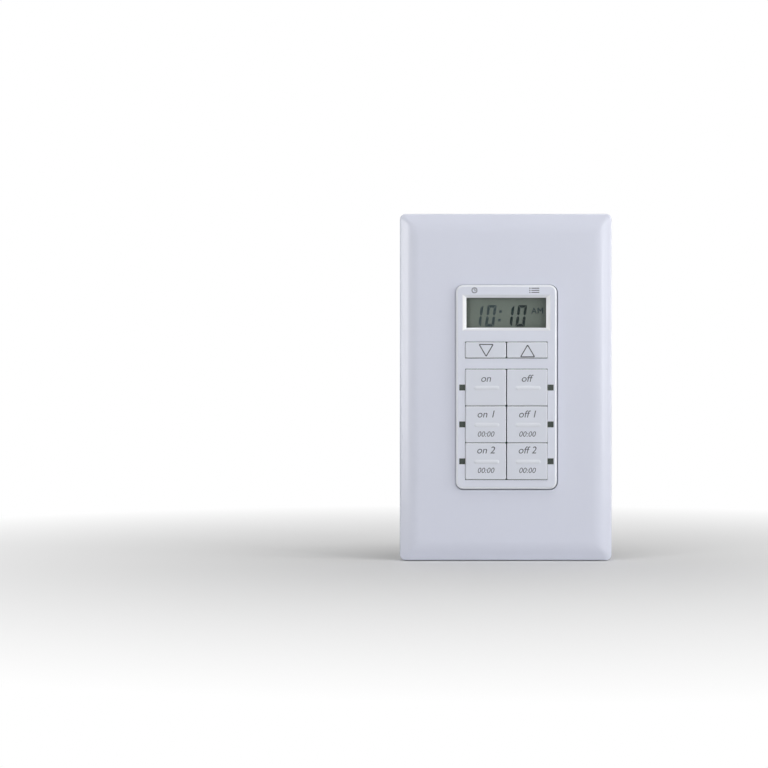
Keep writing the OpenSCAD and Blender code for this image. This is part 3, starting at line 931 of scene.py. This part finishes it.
@dataclass
class DeviceFace:
    """The moulded face, with a small dial and a small list printed above the display."""

    node: str = "front_housing"
    mark_z: float = 31.75
    stroke: float = 0.26
    clock_x: float = -10.5
    clock_r: float = 0.95
    hand_w: float = 0.2
    minute_hand: Point = (0.0, 0.5)
    hour_hand: Point = (0.35, -0.12)
    list_x: float = 9.2
    list_half: float = 1.5
    list_pitch: float = 0.68
    dot_r: float = 0.2
    dot_steps: int = 16
    line_in: float = 0.6
    side_limit: float = 0.3

    def dress(self) -> None:
        """Show the face with smooth edges and painted highlights, and print its marks."""
        self._polish(smooth_copy(self.node).data)
        self._clock_mark()
        self._list_mark()

    def _polish(self, mesh: bpy.types.Mesh) -> None:
        """Paint highlights on the bevels around the display and on the outer edge, as lighter finishes.

        Args:
            mesh: the face's mesh.
        """
        level = front_of(self.node)
        low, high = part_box("display_window")

        def is_bevel(face: bpy.types.MeshPolygon) -> bool:
            """Say whether a face is one of the four bevels.

            Args:
                face: the face.

            Returns:
                Whether it is.
            """
            x, y, z = face.center
            near = abs(x) < high.x + MM and low.z - MM < z < high.z + MM
            return near and level < y < low.y and is_sloped(face)

        def is_side_bevel(face: bpy.types.MeshPolygon) -> bool:
            """Whether a face is the left or the right bevel."""
            return is_bevel(face) and abs(face.normal.x) > self.side_limit

        # Painted highlight on the face's rounded outer edge
        refinish(mesh, EDGE_HIGHLIGHT_WHITE, lambda face: face.center.y < low.y and is_sloped(face))
        # Painted highlights on the display's bevels, the left and right ones lighter
        refinish(mesh, BEVEL_HIGHLIGHT_WHITE, is_bevel)
        refinish(mesh, SIDE_BEVEL_HIGHLIGHT_WHITE, is_side_bevel)

    def _clock_mark(self) -> None:
        """Print a small dial with two hands."""
        work = FlatWork(front_of(self.node))
        x, z = self.clock_x, self.mark_z
        work.ring(circle(x, z, self.clock_r), circle(x, z, self.clock_r - self.stroke))
        for across, up in (self.minute_hand, self.hour_hand):
            work.polygon(bar((x, z), (x + across, z + up), self.hand_w))
        work.piece("mark_clock", LEGEND_INK, "device")

    def _list_mark(self) -> None:
        """Print three lines, each with a dot before it."""
        work = FlatWork(front_of(self.node))
        left, right = self.list_x - self.list_half, self.list_x + self.list_half
        for step in (-1, 0, 1):
            z = self.mark_z + self.list_pitch * step
            work.polygon(circle(left, z, self.dot_r, self.dot_steps))
            work.polygon(bar((left + self.line_in, z), (right, z), self.stroke))
        work.piece("mark_list", LEGEND_INK, "device")


@dataclass
class Keypad:
    """Eight keys with their printed legends.

    The rises are heights above a key's centre, and flat_key is a key with no bar on its front.
    """

    flat_key: str = "key_up"
    legend_shift: float = 0.12
    letter_size: float = 3.3
    figure_size: float = 2.5
    slant: float = 0.22
    word_rise: float = 1.9
    row_rises: tuple[Point, Point] = ((2.3, -4.0), (2.6, -3.8))
    arrow_w: float = 5.15
    arrow_h: float = 4.4
    arrow_rise: float = -0.2
    arrow_stroke: float = 0.33
    outer_round: float = 0.3
    inner_round: float = 0.15

    def dress(self) -> None:
        """Show every key with smooth edges and print its legend."""
        self._arrow("down", Arrow.DOWN)
        self._arrow("up", Arrow.UP)
        for name in ("on", "off"):
            self._legend(name, [(name, self.word_rise, self.letter_size)])
            for row, (upper, lower) in enumerate(self.row_rises, 1):
                lines = [(f"{name} {row}", upper, self.letter_size), ("00:00", lower, self.figure_size)]
                self._legend(f"{name}_time_{row}", lines)

    def _centre(self, name: str) -> Point:
        """Middle of a key in millimetres, from the plunger behind it."""
        low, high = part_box(f"plunger_{name}")
        return (low.x + high.x) / 2 / MM + self.legend_shift, (low.z + high.z) / 2 / MM

    def _arrow(self, name: str, way: Arrow) -> None:
        """Print an outlined triangle on an arrow key.

        Args:
            name: the key's name.
            way: which way it points.
        """
        self._show(name)
        x, z = self._centre(name)
        z += self.arrow_rise
        base, tip = z - way.value * self.arrow_h / 2, z + way.value * self.arrow_h / 2
        half = self.arrow_w / 2
        outer = [(x - way.value * half, base), (x + way.value * half, base), (x, tip)]
        middle = Vector((x, (2 * base + tip) / 3))
        inside = self.arrow_stroke / (self.arrow_h / 3)
        inner = [tuple(Vector(corner).lerp(middle, inside)) for corner in outer]
        work = FlatWork(front_of(self.flat_key))
        work.ring(rounded_corners(outer, self.outer_round), rounded_corners(inner, self.inner_round))
        work.piece(f"legend_{name}", LEGEND_INK, f"{name}_button")

    def _show(self, name: str) -> None:
        """Show a key with a painted highlight on its rounded edges and, where it has one, a painted
        highlight on its raised bar.

        Args:
            name: the key's name.
        """
        mesh = smooth_copy(f"key_{name}").data
        level = front_of(self.flat_key) - NEAR
        # Painted highlight on the key's rounded edges
        refinish(mesh, EDGE_HIGHLIGHT_WHITE, is_sloped)
        # Painted highlight on the raised bar
        refinish(mesh, BAR_HIGHLIGHT_WHITE, lambda face: face.center.y < level)

    def _legend(self, name: str, lines: Sequence[tuple[str, float, float]]) -> None:
        """Print lines of lettering on a large key.

        Args:
            name: the key's name.
            lines: the words, the height above the key's centre and the size of each line.
        """
        self._show(name)
        x, z = self._centre(name)
        work = FlatWork(front_of(self.flat_key))
        for words, above, size in lines:
            work.lettering(words, x, z + above, size, self.slant)
        work.piece(f"legend_{name}", LEGEND_INK, f"{name}_button")


@dataclass
class Display:
    """The segment display: what it shows and how its digits and letters are drawn."""

    shows: str = "1010"
    faint_digits: int = 2
    digit_x: tuple[float, float, float, float] = (-11.3, -6.95, -1.05, 3.1)
    digit_z: float = 19.95
    digit_w: float = 3.0
    digit_h: float = 7.05
    stroke: float = 0.88
    gap: float = 0.1
    slant: float = 0.13
    colon_x: float = -2.45
    colon_rises: Point = (0.3, 0.7)
    half_day_x: float = 9.25
    half_day_z: float = 24.2
    letter_size: float = 2.75
    letter_weight: float = 0.045
    letter_w: float = 1.85
    letter_h: float = 1.92
    letter_stroke: float = 0.36
    letter_pitch: float = 1.15
    notch_rise: float = 0.3
    notch_strokes: float = 1.6
    air: float = 0.06

    def dress(self) -> None:
        """Show the front glass and draw the digits on the ground of the display."""
        self._front_glass()
        level = front_of("lcd_rear_glass") - FlatWork.SUNK * MM
        strong, faint = FlatWork(level), FlatWork(level)
        for index, (x, digit) in enumerate(zip(self.digit_x, self.shows)):
            work = faint if index < self.faint_digits else strong
            for segment in DIGITS[digit]:
                work.polygon(self._leaned(self._outline(segment), x))
        for rise in self.colon_rises:
            faint.polygon(self._leaned(self._dot(rise * self.digit_h), self.colon_x))
        x, z = self.half_day_x, self.half_day_z
        faint.lettering("A", x, z, self.letter_size, 0.0, self.letter_weight)
        faint.polygon(self._letter_m(x + self.letter_pitch, z))
        strong.piece("display_digits", SEGMENT_INK, "device")
        faint.piece("display_faint_digits", FAINT_SEGMENT_INK, "device")

    def _front_glass(self) -> None:
        """Show the front glass with air before and behind it."""
        node = "lcd_front_glass"
        mesh = frame["nodes"][node].data.copy()
        low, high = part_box(node)
        middle = (low.y + high.y) / 2
        share = 1 - 2 * self.air * MM / (high.y - low.y)
        squeeze = Matrix.Diagonal((1.0, share, 1.0, 1.0))
        mesh.transform(Matrix.Translation((0, middle * (1 - share), 0)) @ squeeze)
        stand_in(f"{node}_plate", mesh, node)

    def _leaned(self, points: Iterable[Point], x: float) -> list[Point]:
        """Move an outline to its place and lean it."""
        return [(x + px + pz * self.slant, self.digit_z + pz) for px, pz in points]

    def _letter_m(self, x: float, z: float) -> list[Point]:
        """Outline of an upright letter with two legs and a notch between them.

        Args:
            x: its left side.
            z: its foot.

        Returns:
            Its corners, anticlockwise.
        """
        w, h, t = self.letter_w, self.letter_h, self.letter_stroke
        foot, drop = self.notch_rise * h, self.notch_strokes * t
        right = [(w / 2, foot), (w - t, h - drop), (w - t, 0), (w, 0), (w, h), (w - t, h)]
        left = [(w - px, pz) for px, pz in reversed(right[1:])]
        return [(x + px, z + pz) for px, pz in (*right, (w / 2, foot + drop), *left)]

    def _dot(self, z: float) -> list[Point]:
        """A square dot of the colon."""
        half = self.stroke / 2
        return [(-half, z - half), (half, z - half), (half, z + half), (-half, z + half)]

    def _outline(self, segment: Segment) -> list[Point]:
        """Outline of one segment of an upright digit.

        Args:
            segment: which segment.

        Returns:
            Its corners, anticlockwise.
        """
        w, h, t, g = self.digit_w, self.digit_h, self.stroke, self.gap
        if segment is Segment.TOP:
            return [(t + g, h - t), (w - t - g, h - t), (w - g, h), (g, h)]
        if segment is Segment.BOTTOM:
            return [(g, 0), (w - g, 0), (w - t - g, t), (t + g, t)]
        head = h / 2 - g
        points = [(0, g), (t, t + g), (t, head - t / 2), (t / 2, head), (0, head - t / 2)]
        if segment in (Segment.UPPER_LEFT, Segment.UPPER_RIGHT):
            points = [(x, h - z) for x, z in reversed(points)]
        if segment in (Segment.LOWER_RIGHT, Segment.UPPER_RIGHT):
            points = [(w - x, z) for x, z in reversed(points)]
        return points


@dataclass
class Screw:
    """A slotted pan-head screw with a cut thread, in millimetres, its head towards -Z.

    The thread's depth is a share of its pitch, the slot's cutter spans some radii of the head,
    and the head's profile is in shares of its radius and height.
    """

    head_r: float
    head_h: float
    neck_r: float
    neck_l: float
    thread_r: float
    length: float
    pitch: float = 0.8
    thread_share: float = 0.54
    slot_w: float = 0.9
    slot_d: float = 0.7
    slot_span: float = 3.0
    neck_sunk: float = 0.3
    sides: int = 32
    steps: int = 6
    head_profile: tuple[Point, ...] = (
        (0.62, 1.0), (0.78, 0.97), (0.9, 0.86), (0.97, 0.7), (1.0, 0.5), (1.0, 0.06), (0.97, 0.0)
    )

    def mesh(self, name: str, places: Sequence[Matrix]) -> bpy.types.Mesh:
        """Build the screw at several places.

        Args:
            name: the mesh's name.
            places: where each screw's seat is, with local Z from head to tip.

        Returns:
            One mesh with all the screws, in metres.
        """
        solids = [self._head(), self._shank()]
        shape = bmesh.new()
        for place in places:
            for solid in solids:
                part = solid.copy()
                part.transform(place @ Matrix.Scale(MM, 4))
                shape.from_mesh(part)
                bpy.data.meshes.remove(part)
        bpy.data.batch_remove(solids)
        mesh = to_mesh(shape, name)
        smooth(mesh, THREAD_DEGREES)
        return mesh

    def _head(self) -> bpy.types.Mesh:
        """Turn the head and cut its slot.

        Returns:
            The head as one closed solid.
        """
        head = bmesh.new()
        profile = [(self.head_r * share, -self.head_h * rise) for share, rise in self.head_profile]
        self._skin(head, [self._rim(head, radius, height) for radius, height in profile])
        slot = bmesh.new()
        bmesh.ops.create_cube(slot, size=1.0)
        across = self.slot_span * self.head_r
        bmesh.ops.scale(slot, vec=(across, self.slot_w, 2 * self.slot_d), verts=slot.verts)
        bmesh.ops.translate(slot, vec=(0, 0, -self.head_h), verts=slot.verts)
        return cut_away(head, slot)

    def _shank(self) -> bpy.types.Mesh:
        """Make the neck and the thread.

        Returns:
            Both as one closed solid.
        """
        shape = bmesh.new()
        depth = self.thread_share * self.pitch
        rings = int((self.length - self.neck_l) / self.pitch * self.steps)
        rims = [self._rim(shape, self.neck_r, -self.neck_sunk)]
        for ring in range(rings + 1):
            turn = ring / self.steps
            fade = min(1.0, turn, (rings - ring) / self.steps)
            height = self.neck_l + turn * self.pitch
            rim = []
            for side, (x, y) in enumerate(circle(0, 0, 1.0, self.sides)):
                flank = abs(2 * ((turn - side / self.sides) % 1.0) - 1)
                radius = self.thread_r - depth * (1 - flank * fade)
                rim.append(shape.verts.new((radius * x, radius * y, height)))
            rims.append(rim)
        self._skin(shape, rims)
        return to_mesh(shape, "shank")

    def _rim(self, shape: bmesh.types.BMesh, radius: float, height: float) -> Rim:
        """Points of a circle at one height."""
        return [shape.verts.new((x, y, height)) for x, y in circle(0, 0, radius, self.sides)]

    @staticmethod
    def _skin(shape: bmesh.types.BMesh, rims: list[Rim]) -> None:
        """Cover rims with faces and close both ends.

        Args:
            shape: the mesh that holds the rims.
            rims: the rims in order.
        """
        for one, two in zip(rims, rims[1:]):
            band(shape, one, two)
        shape.faces.new(reversed(rims[0]))
        shape.faces.new(rims[-1])
        bmesh.ops.recalc_face_normals(shape, faces=shape.faces)


@dataclass
class Strap:
    """The steel strap's screws, in millimetres; a head is its radius and height."""

    strap_t: float = 1.2
    box_pitch: float = 83.34
    plate_pitch: float = 96.84
    box_head: Point = (3.3, 1.9)
    plate_head: Point = (3.1, 1.6)
    ground_head: Point = (3.0, 2.0)
    neck_r: float = 1.6
    short_neck: float = 0.4
    thread_r: float = 1.75

    def dress(self) -> None:
        """Show each plain screw with its thread."""
        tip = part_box("box_screws")[1].y / MM
        screw = self._screw(self.box_head, self.strap_t, tip + self.strap_t)
        self._pair("box_screws", screw, -self.strap_t, self.box_pitch)
        low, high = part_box("sub_plate_screws")
        seat = low.y / MM + self.plate_head[1]
        screw = self._screw(self.plate_head, self.short_neck, high.y / MM - seat)
        self._pair("sub_plate_screws", screw, seat, self.plate_pitch)
        self._ground()

    def _screw(self, head: Point, neck_l: float, length: float) -> Screw:
        """One of the strap's screws."""
        return Screw(*head, self.neck_r, neck_l, self.thread_r, length)

    @staticmethod
    def _pair(node: str, screw: Screw, seat: float, pitch: float) -> None:
        """Show two plain screws, one above the other, as threaded ones.

        Args:
            node: the plain screws.
            screw: what each looks like.
            seat: where their heads sit along Y.
            pitch: distance between the two.
        """
        inward = Matrix.Rotation(-math.pi / 2, 4, "X")
        places = [
            Matrix.Translation((0, seat * MM, side * pitch / 2 * MM)) @ inward for side in (-1, 1)
        ]
        stand_in(f"{node}_threaded", screw.mesh(node, places), node)

    def _ground(self) -> None:
        """Show the plain earth screw, which lies along X, as a threaded one."""
        node = "ground_screw"
        low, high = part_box(node)
        middle = (low + high) / 2
        head_h = self.ground_head[1]
        screw = self._screw(self.ground_head, self.short_neck, (high.x - low.x) / MM - head_h)
        sideways = Matrix.Rotation(math.pi / 2, 4, "Y")
        place = Matrix.Translation((low.x + head_h * MM, middle.y, middle.z)) @ sideways
        stand_in(f"{node}_threaded", screw.mesh(node, [place]), node)


@dataclass
class RearHousing:
    """The black housing behind the wall, with moulded numbers at its wire holes."""

    edge_r: float = 0.7
    hole_x: float = 16.4
    hole_z: float = 11.0
    number_in: float = 5.0
    number_size: float = 3.6
    number_foot: float = 0.36
    number_weight: float = 0.05
    proud: float = 0.2
    gauge_l: float = 11.0
    gauge_z: float = -21.5
    gauge_w: float = 1.0
    tick_w: float = 0.6
    tick_drops: Point = (1.6, 3.2)

    def dress(self) -> None:
        """Show the housing with rounded back edges and its moulded marks."""
        node = "rear_housing"
        smooth_copy(node, self.edge_r)
        work = FlatWork(-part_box(node)[1].y, self.proud)
        self._numbers(work)
        self._gauge(work)
        work.turn_round()
        work.piece("rear_marks", FINISHES[slot_of(node)], body_of(node))

    def _numbers(self, work: FlatWork) -> None:
        """Draw a raised number beside each wire hole.

        Args:
            work: what they are drawn in.
        """
        across = self.hole_x - self.number_in
        places = [(side * across, lift * self.hole_z) for lift in (1, -1) for side in (-1, 1)]
        for number, (x, z) in enumerate(places, 1):
            base = z - self.number_size * self.number_foot
            work.lettering(str(number), x, base, self.number_size, 0.0, self.number_weight)

    def _gauge(self, work: FlatWork) -> None:
        """Draw the raised strip that shows how far a wire is bared.

        Args:
            work: what it is drawn in.
        """
        half, z = self.gauge_l / 2, self.gauge_z
        upper, lower = self.tick_drops
        work.polygon(bar((-half, z), (half, z), self.gauge_w))
        for end in (-half, half):
            work.polygon(bar((end, z - upper), (end, z - lower), self.tick_w))


@dataclass(frozen=True)
class SoftBox:
    """A soft box that faces the object: its place and size in metres and its power in watts."""

    name: str
    place: Axes
    size: Point
    power: float

    def hang(self) -> None:
        """Put the lamp in the scene."""
        data = bpy.data.lights.new(self.name, "AREA")
        data.shape = "RECTANGLE"
        data.size, data.size_y = self.size
        data.energy = self.power
        lamp = in_scene(self.name, data)
        lamp.location = self.place
        lamp.rotation_euler = (-Vector(self.place)).to_track_quat("-Z", "Y").to_euler()


SOFT_BOXES = (
    SoftBox("strip_right", (0.47, -0.45, 0.12), (0.10, 0.5), 0.9),
    SoftBox("strip_left", (-0.47, -0.45, 0.05), (0.08, 0.5), 1.15),
    SoftBox("panel_left", (-0.40, -0.52, 0.05), (0.25, 0.5), 0.5),
    SoftBox("box_right", (0.62, -0.21, 0.05), (0.2, 0.4), 2.1),
    SoftBox("box_top", (0.05, -0.20, 0.60), (0.5, 0.2), 1.5),
    SoftBox("box_back_left", (-0.5, 0.5, 0.4), (0.9, 0.9), 2.0),
    SoftBox("box_back_right", (0.5, 0.5, 0.4), (0.9, 0.9), 2.0),
)


@dataclass
class Studio:
    """The camera, the pale floor, the soft lights and the white surround.

    The view's place, the field that it takes in at rim_distance and the floor's gap are in
    millimetres, and the floor's size and fade in metres.
    """

    view_x: float = -40.2
    view_z: float = 1.0
    distance: float = 654.6
    field: float = 253.4
    rim_distance: float = 650.0
    sensor: float = 36.0
    clip_start: float = 0.01
    ambient: float = 0.06
    floor_gap: float = 0.2
    floor_half: float = 3.0
    floor_grey: float = 0.7
    floor_roughness: float = 0.8
    floor_near: float = 0.07
    floor_far: float = 0.3

    def build(self) -> None:
        """Set up the view and the light."""
        bpy.context.scene.view_settings.view_transform = "Standard"
        self._camera()
        self._floor()
        self._surround()
        for lamp in SOFT_BOXES:
            lamp.hang()

    def _camera(self) -> None:
        """Look straight at the wall, a little to the left of the object."""
        data = bpy.data.cameras.new("camera")
        data.sensor_width = self.sensor
        data.lens = self.sensor * self.rim_distance / self.field
        data.clip_start = self.clip_start
        camera = in_scene("camera", data)
        camera.location = Vector((self.view_x, -self.distance, self.view_z)) * MM
        camera.rotation_euler = (math.pi / 2, 0, 0)
        bpy.context.scene.camera = camera

    def _floor(self) -> None:
        """Lay a plain pale floor under the object."""
        mesh = bpy.data.meshes.new("floor")
        half, level = self.floor_half, solid_box[0][2] - self.floor_gap * MM
        corners = [(-half, -half), (half, -half), (half, half), (-half, half)]
        mesh.from_pydata([(x, y, level) for x, y in corners], [], [(0, 1, 2, 3)])
        mesh.materials.append(self._floor_material())
        in_scene("floor", mesh)

    def _floor_material(self) -> bpy.types.Material:
        """Pale where the object's shadow falls, and white far from it to the camera.

        Returns:
            The floor's material.
        """
        made = bpy.data.materials.new("pale_floor")
        made.use_nodes = True
        graph = Graph(made.node_tree)
        grey = (self.floor_grey, self.floor_grey, self.floor_grey, 1.0)
        ground = graph.principled(Base_Color=grey, Roughness=self.floor_roughness)
        white = graph.node("ShaderNodeEmission", sockets={"Color": PAPER_WHITE})
        reach = graph.node("ShaderNodeVectorMath", {"operation": "LENGTH"}, {0: graph.place()}, "Value")
        far = graph.ramp(reach, ((self.floor_near, 0.0), (self.floor_far, 1.0)))
        seen = graph.node("ShaderNodeLightPath", out="Is Camera Ray")
        surface = graph.node("ShaderNodeMixShader", sockets={0: far * seen, 1: ground, 2: white})
        graph.node("ShaderNodeOutputMaterial", sockets={"Surface": surface})
        return made

    def _surround(self) -> None:
        """White where it is seen or mirrored, and a plain level where it lights."""
        world = bpy.data.worlds.new("surround")
        world.use_nodes = True
        bpy.context.scene.world = world
        graph = Graph(world.node_tree)
        seen = graph.node("ShaderNodeLightPath", out="Is Camera Ray")
        for kind in ("Is Glossy Ray", "Is Transmission Ray"):
            seen = seen.highest(graph.node("ShaderNodeLightPath", out=kind))
        strength = seen + (1 - seen) * self.ambient
        sockets = {"Color": PAPER_WHITE, "Strength": strength}
        background = graph.node("ShaderNodeBackground", sockets=sockets)
        graph.node("ShaderNodeOutputWorld", sockets={"Surface": background})


def dress_solids() -> None:
    """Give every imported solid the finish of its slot."""
    for row in frame["record"]["subparts"]:
        mesh = frame["nodes"][row["node"]].data
        mesh.materials.clear()
        mesh.materials.append(FINISHES[row["material_slot"]].material())
        LOG.info("dressed %s as %s", row["node"], row["material_slot"])


def main() -> None:
    """Build every sub-assembly in order."""
    logging.basicConfig(level=logging.INFO, format="%(message)s")
    dress_solids()
    Studio().build()
    CoverPlate().dress()
    DeviceFace().dress()
    Keypad().dress()
    Display().dress()
    Strap().dress()
    RearHousing().dress()


if __name__ == "__main__":
    main()
